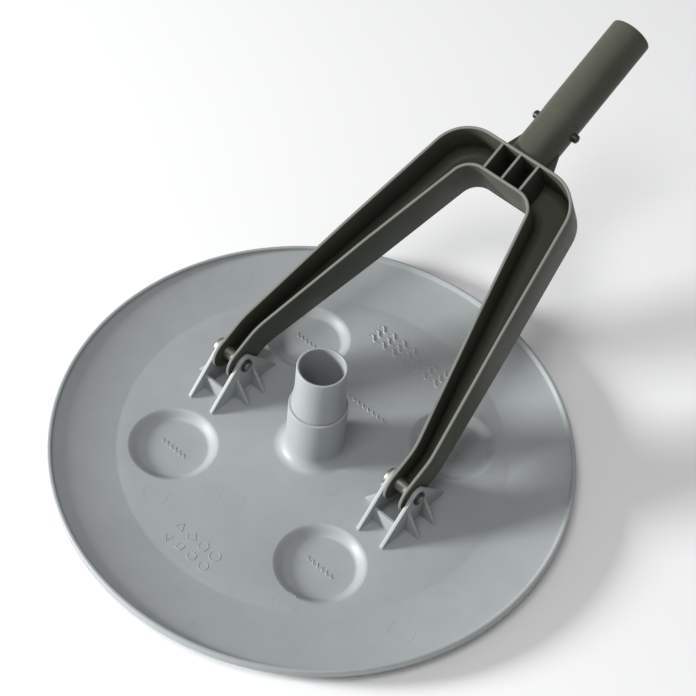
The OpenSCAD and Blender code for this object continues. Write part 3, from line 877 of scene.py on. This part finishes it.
# %% Geometry Nodes helpers
def new_tree(name, inputs):
    """A geometry tree with named inputs; returns the tree and its input node."""
    tree = bpy.data.node_groups.new(name, "GeometryNodeTree")
    tree.interface.new_socket("Geometry", in_out="INPUT", socket_type="NodeSocketGeometry")
    for label, kind, value in inputs:
        socket = tree.interface.new_socket(label, in_out="INPUT", socket_type=kind)
        socket.default_value = value
    tree.interface.new_socket("Geometry", in_out="OUTPUT", socket_type="NodeSocketGeometry")
    return tree, tree.nodes.new("NodeGroupInput"), tree.nodes.new("NodeGroupOutput")


def finish_tree(tree, out, geometry, material):
    """Realizes what the tree made and gives it its material."""
    real = tree.nodes.new("GeometryNodeRealizeInstances")
    cover = tree.nodes.new("GeometryNodeSetMaterial")
    cover.inputs["Material"].default_value = material
    tree.links.new(geometry, real.inputs["Geometry"])
    tree.links.new(real.outputs["Geometry"], cover.inputs["Geometry"])
    tree.links.new(cover.outputs["Geometry"], out.inputs["Geometry"])


def run_tree(name, tree, source, values, material, crease=CREASE):
    """Runs a tree on a source mesh and returns the result as a plain piece."""
    holder = bpy.data.objects.new(name + "_source", source)
    bpy.context.scene.collection.objects.link(holder)
    modifier = holder.modifiers.new("nodes", "NODES")
    modifier.node_group = tree
    for item in tree.interface.items_tree:
        if item.in_out == "INPUT" and item.name in values:
            modifier[item.identifier] = values[item.name]
    evaluated = holder.evaluated_get(bpy.context.evaluated_depsgraph_get())
    mesh = bpy.data.meshes.new_from_object(evaluated)
    bm = bmesh.new()
    bm.from_mesh(mesh)
    bmesh.ops.scale(bm, vec=(1 / MM, 1 / MM, 1 / MM), verts=bm.verts)
    bpy.data.objects.remove(holder)
    bpy.data.meshes.remove(mesh)
    return make_piece(name, bm, material, crease)


# %% Crown ribs
rib_tree, rib_in, rib_out = new_tree(
    "rib_row", [("Count", "NodeSocketInt", 3), ("Pitch", "NodeSocketFloat", 0.0146)]
)
rib_line = rib_tree.nodes.new("GeometryNodeMeshLine")
rib_offset = rib_tree.nodes.new("ShaderNodeCombineXYZ")
rib_place = rib_tree.nodes.new("GeometryNodeInstanceOnPoints")
rib_centre = rib_tree.nodes.new("GeometryNodeTransform")
rib_shift = rib_tree.nodes.new("ShaderNodeVectorMath")
rib_shift.operation = "SCALE"
rib_steps = calc(rib_tree, "MULTIPLY_ADD", rib_in.outputs["Count"], -0.5, 0.5)
links = rib_tree.links
links.new(rib_in.outputs["Pitch"], rib_offset.inputs["X"])
links.new(rib_in.outputs["Count"], rib_line.inputs["Count"])
links.new(rib_offset.outputs["Vector"], rib_line.inputs["Offset"])
links.new(rib_offset.outputs["Vector"], rib_shift.inputs[0])
links.new(rib_steps, rib_shift.inputs["Scale"])
links.new(rib_line.outputs["Mesh"], rib_centre.inputs["Geometry"])
links.new(rib_shift.outputs["Vector"], rib_centre.inputs["Translation"])
links.new(rib_centre.outputs["Geometry"], rib_place.inputs["Points"])
links.new(rib_in.outputs["Geometry"], rib_place.inputs["Instance"])
finish_tree(rib_tree, rib_out, rib_place.outputs["Instances"], fork_plastic)

rib_bm = bmesh.new()
rib_from, rib_to = CROWN_IN_V + 1.0, CROWN_V - 1.0
rib_low, rib_high = -FORK_HALF + 1.5, FORK_HALF - 0.5
rib_side = [(rib_from, rib_low), (rib_to, rib_low), (rib_to, rib_high), (rib_from, rib_high)]
outline_plate(rib_bm, rib_side, FORK_WALL, 0.45, lambda v, w, t: fork_point(t, v, w))
bmesh.ops.scale(rib_bm, vec=(MM, MM, MM), verts=rib_bm.verts)
rib_mesh = bpy.data.meshes.new("rib_plate")
rib_bm.to_mesh(rib_mesh)
rib_bm.free()
ribs = run_tree("crown_ribs", rib_tree, rib_mesh, {"Count": 3, "Pitch": RIB_PITCH * MM}, fork_plastic)
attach(ribs, "fork_and_tube")

# %% [markdown]
# ## Snap buttons and their spring
# Two domed buttons stand out of the tube's sides. A strip of spring steel bent into a
# long V pushes them out from inside, and shows only from the tube's open end.

# %% Snap buttons
BUTTON_V = CROWN_V + 32.0
BUTTON_R = 3.0
BUTTON_OUT = 4.0
FLANGE_R = 4.5
FLANGE_OUT = math.sqrt(TUBE_BORE_R**2 - FLANGE_R**2) - 0.1
FLANGE_T = 1.2
DOME_H = 1.9

for side, word in ((-1, "left"), (1, "right")):
    button_bm = bmesh.new()
    tip = TUBE_R + BUTTON_OUT
    base = FLANGE_OUT - FLANGE_T
    shape = [(0.0, base), (FLANGE_R - 0.2, base), (FLANGE_R, base + 0.2), (FLANGE_R, FLANGE_OUT - 0.2)]
    shape += [(FLANGE_R - 0.2, FLANGE_OUT), (BUTTON_R, FLANGE_OUT), (BUTTON_R, tip - DOME_H)]
    dome = [math.radians(d) for d in (12, 24, 36, 48, 60, 72, 82)]
    shape += [(BUTTON_R * math.cos(a), tip - DOME_H + DOME_H * math.sin(a)) for a in dome]
    shape.append((0.0, tip))
    turn = Matrix.Rotation(side * math.radians(90.0), 4, "Y")
    lean = Matrix.Rotation(REST_TILT, 4, "X")
    place = Matrix.Translation((0, 0, PIVOT_Z)) @ lean @ Matrix.Translation((0, BUTTON_V, 0)) @ turn
    revolve(button_bm, shape, 48)
    button = make_piece("button_" + word, button_bm, button_plastic, place=place)
    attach(button, "button_" + word)
    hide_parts("snap_button_" + word)

# %% Button spring
STRIP_T = 0.8
STRIP_W = 8.0
SPRING_L = 46.0
SPRING_R = 4.0
leg_tip = FLANGE_OUT - FLANGE_T - 0.02
bend_v = BUTTON_V + SPRING_L
rise = leg_tip - SPRING_R


def spring_line(offset):
    """Centre line of the V, moved inwards by offset, from tip to tip."""
    lean = math.atan2(rise, SPRING_L)
    start = Vector((leg_tip - offset * math.cos(lean), BUTTON_V - 2.0 - offset * math.sin(lean)))
    r = SPRING_R - offset
    turns = [lean + (math.pi - 2 * lean) * i / 16 for i in range(17)]
    bend = [Vector((r * math.cos(a), bend_v + r * math.sin(a))) for a in turns]
    return [start] + bend + [Vector((-start.x, start.y))]


spring_bm = bmesh.new()
strip = spring_line(0.0) + list(reversed(spring_line(STRIP_T)))
outline_plate(spring_bm, [(p.x, p.y) for p in strip], STRIP_W, 0.1, lambda u, v, t: fork_point(u, v, t))
spring = make_piece("spring_strip", spring_bm, spring_steel)
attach(spring, "fork_and_tube")
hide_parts("button_spring")

# %% [markdown]
# ## Moulded marks
# Discs like this carry moulded marks. They are plain shapes here: rows of waves, a
# few outlined shapes, and the faint rings that ejector pins leave. One tree draws the
# waves from named sizes, the other lays a thin bead along any path.

# %% Wave rows
wave_tree, wave_in, wave_out = new_tree(
    "wave_rows",
    [
        ("Length", "NodeSocketFloat", 0.06),
        ("Wavelength", "NodeSocketFloat", 0.01),
        ("Amplitude", "NodeSocketFloat", 0.002),
        ("Bead", "NodeSocketFloat", 0.0006),
    ],
)
links = wave_tree.links
start_at = wave_tree.nodes.new("ShaderNodeCombineXYZ")
end_at = wave_tree.nodes.new("ShaderNodeCombineXYZ")
line = wave_tree.nodes.new("GeometryNodeCurvePrimitiveLine")
fine = wave_tree.nodes.new("GeometryNodeResampleCurve")
fine.inputs["Count"].default_value = 72
where = wave_tree.nodes.new("GeometryNodeInputPosition")
split = wave_tree.nodes.new("ShaderNodeSeparateXYZ")
lift = wave_tree.nodes.new("ShaderNodeCombineXYZ")
bend = wave_tree.nodes.new("GeometryNodeSetPosition")
bead = wave_tree.nodes.new("GeometryNodeCurvePrimitiveCircle")
bead.inputs["Resolution"].default_value = 8
skin = wave_tree.nodes.new("GeometryNodeCurveToMesh")
skin.inputs["Fill Caps"].default_value = True
copies = wave_tree.nodes.new("GeometryNodeInstanceOnPoints")
cycles = calc(wave_tree, "DIVIDE", split.outputs["X"], wave_in.outputs["Wavelength"])
sine = calc(wave_tree, "SINE", calc(wave_tree, "MULTIPLY", cycles, 2.0 * math.pi))
links.new(calc(wave_tree, "MULTIPLY", wave_in.outputs["Length"], -0.5), start_at.inputs["X"])
links.new(calc(wave_tree, "MULTIPLY", wave_in.outputs["Length"], 0.5), end_at.inputs["X"])
links.new(start_at.outputs["Vector"], line.inputs["Start"])
links.new(end_at.outputs["Vector"], line.inputs["End"])
links.new(line.outputs["Curve"], fine.inputs["Curve"])
links.new(where.outputs["Position"], split.inputs["Vector"])
links.new(calc(wave_tree, "MULTIPLY", sine, wave_in.outputs["Amplitude"]), lift.inputs["Y"])
links.new(fine.outputs["Curve"], bend.inputs["Geometry"])
links.new(lift.outputs["Vector"], bend.inputs["Offset"])
links.new(wave_in.outputs["Bead"], bead.inputs["Radius"])
links.new(bend.outputs["Geometry"], skin.inputs["Curve"])
links.new(bead.outputs["Curve"], skin.inputs["Profile Curve"])
links.new(wave_in.outputs["Geometry"], copies.inputs["Points"])
links.new(skin.outputs["Mesh"], copies.inputs["Instance"])
finish_tree(wave_tree, wave_out, copies.outputs["Instances"], disc_plastic)


def point_mesh(name, points):
    """A mesh of loose points, given in millimetres."""
    mesh = bpy.data.meshes.new(name)
    mesh.from_pydata([tuple(c * MM for c in p) for p in points], [], [])
    return mesh


WAVES = {
    "wave_mark_large": ([(0.0, 101.0 + dy, -0.1) for dy in (-5.5, 0.0, 5.5)], 74.0, 9.2, 1.9, 0.8),
    "wave_mark_small": ([(4.0, 46.0, -0.1)], 34.0, 4.2, 1.0, 0.5),
    "wave_mark_pockets": ([(x, y, -POCKET_DEPTH - 0.1) for x, y in foot_centres], 22.0, 3.7, 1.3, 0.45),
}
for name, (points, length, pitch, swing, radius) in WAVES.items():
    sizes = {"Length": length * MM, "Wavelength": pitch * MM, "Amplitude": swing * MM, "Bead": radius * MM}
    marks = run_tree(name, wave_tree, point_mesh(name, points), sizes, disc_plastic, math.radians(60.0))
    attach(marks, "disc")

# %% Beads along any path
path_tree, path_in, path_out = new_tree("path_bead", [("Bead", "NodeSocketFloat", 0.0004)])
links = path_tree.links
as_curve = path_tree.nodes.new("GeometryNodeMeshToCurve")
path_bead = path_tree.nodes.new("GeometryNodeCurvePrimitiveCircle")
path_bead.inputs["Resolution"].default_value = 6
path_skin = path_tree.nodes.new("GeometryNodeCurveToMesh")
links.new(path_in.outputs["Geometry"], as_curve.inputs["Mesh"])
links.new(path_in.outputs["Bead"], path_bead.inputs["Radius"])
links.new(as_curve.outputs["Curve"], path_skin.inputs["Curve"])
links.new(path_bead.outputs["Curve"], path_skin.inputs["Profile Curve"])
finish_tree(path_tree, path_out, path_skin.outputs["Mesh"], disc_plastic)


def loops_mesh(name, loops):
    """Closed loops of points in millimetres as a mesh of edges."""
    verts, edges = [], []
    for loop in loops:
        first = len(verts)
        verts += [tuple(c * MM for c in p) for p in loop]
        edges += [(first + i, first + (i + 1) % len(loop)) for i in range(len(loop))]
    mesh = bpy.data.meshes.new(name)
    mesh.from_pydata(verts, edges, [])
    return mesh


def ring_loop(x, y, z, r, sides, turn=0.0):
    angles = [turn + 2 * math.pi * i / sides for i in range(sides)]
    return [(x + r * math.cos(a), y + r * math.sin(a), z) for a in angles]


ejector_rings = [(-8.3, -67.3), (27.4, -19.5), (3.7, 71.3), (-43.7, -100.0), (68.0, -100.0)]
edge_rings = [(-135.6, 72.1), (131.8, -66.6), (132.9, 77.6), (32.8, -152.7)]
EJECTOR_R = 8.0
BEAD_SUNK = 0.12
BEAD_CREASE = math.radians(70.0)
dish_slope = DISH_RISE / (LIP_R - FLAT_R)
rings = [ring_loop(x, y, -BEAD_SUNK, EJECTOR_R, 48) for x, y in ejector_rings]
for x, y in edge_rings:
    loop = []
    for px, py, _ in ring_loop(x, y, 0.0, EJECTOR_R, 48):
        loop.append((px, py, max(0.0, (math.hypot(px, py) - FLAT_R) * dish_slope) - BEAD_SUNK))
    rings.append(loop)
ring_mesh = loops_mesh("ejector_paths", rings)
ring_marks = run_tree("ejector_rings", path_tree, ring_mesh, {"Bead": 0.2 * MM}, disc_plastic, BEAD_CREASE)

icons = []
for x, sides in ((-15.0, 3), (-5.0, 4), (5.0, 6), (15.0, 24)):
    icons.append(ring_loop(x, -106.0, -BEAD_SUNK, 3.6, sides, math.radians(90.0)))
    icons.append(ring_loop(x, -116.0, -BEAD_SUNK, 3.0, sides, math.radians(45.0)))
icon_mesh = loops_mesh("icon_paths", icons)
icon_marks = run_tree("outlined_shapes", path_tree, icon_mesh, {"Bead": 0.35 * MM}, disc_plastic, BEAD_CREASE)
for marks in (ring_marks, icon_marks):
    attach(marks, "disc")

# %% [markdown]
# ## Floor, light and camera
# The disc stands on its four feet on a plain pale floor. A low light far off to the left
# does most of the work, as a window would, so its shadows are fairly crisp and it is as
# strong on the near rim as on the far one. A large soft light overhead fills the channel
# of the fork, and a dim white world softens the rest.

# %% Floor
floor_mesh = bpy.data.meshes.new("studio_floor")
FLOOR_Z = -(POCKET_DEPTH + WALL) * MM
floor_corners = [(x, y, FLOOR_Z) for x, y in ((-6, -6), (6, -6), (6, 6), (-6, 6))]
floor_mesh.from_pydata(floor_corners, [], [(0, 1, 2, 3)])
floor = bpy.data.objects.new("studio_floor", floor_mesh)
bpy.context.scene.collection.objects.link(floor)
floor_material, floor_tree, floor_shader, floor_coords = new_material("studio_floor")
floor_clouds = noise(floor_tree, floor_coords, 1.5, 2.0)
floor_tint = ramp(floor_tree, floor_clouds, [(0.3, 0.95), (0.7, 0.97)])
floor_tree.links.new(floor_tint, floor_shader.inputs["Base Color"])
floor_shader.inputs["Roughness"].default_value = 0.9
floor_mesh.materials.append(floor_material)

# %% Camera
camera_data = bpy.data.cameras.new("camera")
camera_data.lens = 82.76
camera_data.sensor_width = 36.0
camera_data.clip_end = 50.0
camera = bpy.data.objects.new("camera", camera_data)
bpy.context.scene.collection.objects.link(camera)
right_axis = Vector((0.7424, 0.6651, 0.0808)).normalized()
down_axis = Vector((0.5487, -0.5343, -0.6429))
back_axis = right_axis.cross(-down_axis).normalized()
up_axis = back_axis.cross(right_axis)
turn = Matrix((right_axis, up_axis, back_axis)).transposed().to_4x4()
camera.matrix_world = Matrix.Translation((0.3809, -0.4932, 0.8317)) @ turn
bpy.context.scene.camera = camera
print("camera looks along", tuple(round(-c, 3) for c in back_axis))

# %% Lights
def area_light(name, position, target, size, watts, tint=(1.0, 1.0, 1.0)):
    data = bpy.data.lights.new(name, "AREA")
    data.shape = "DISK"
    data.size = size
    data.energy = watts
    data.color = tint
    light = bpy.data.objects.new(name, data)
    light.location = position
    light.rotation_euler = (Vector(target) - Vector(position)).to_track_quat("-Z", "Y").to_euler()
    bpy.context.scene.collection.objects.link(light)
    return light


centre = Vector((0.0, 0.05, 0.03))
left = -right_axis
up = Vector((0.0, 0.0, 1.0))
far = Vector((-0.593, 0.805, 0.0))
window = centre + left * 3.2 - far * 0.2 + up * 1.22
area_light("window", window, centre, 0.8, 176.0, (0.98, 0.99, 1.0))
area_light("overhead", centre + Vector((0.05, -0.42, 0.905)) * 2.2, centre, 0.9, 15.0)
world = bpy.data.worlds.new("studio")
world.use_nodes = True
world.node_tree.nodes["Background"].inputs["Color"].default_value = (1.0, 1.0, 1.0, 1.0)
world.node_tree.nodes["Background"].inputs["Strength"].default_value = 0.29
bpy.context.scene.world = world
bpy.context.scene.view_settings.view_transform = "Standard"
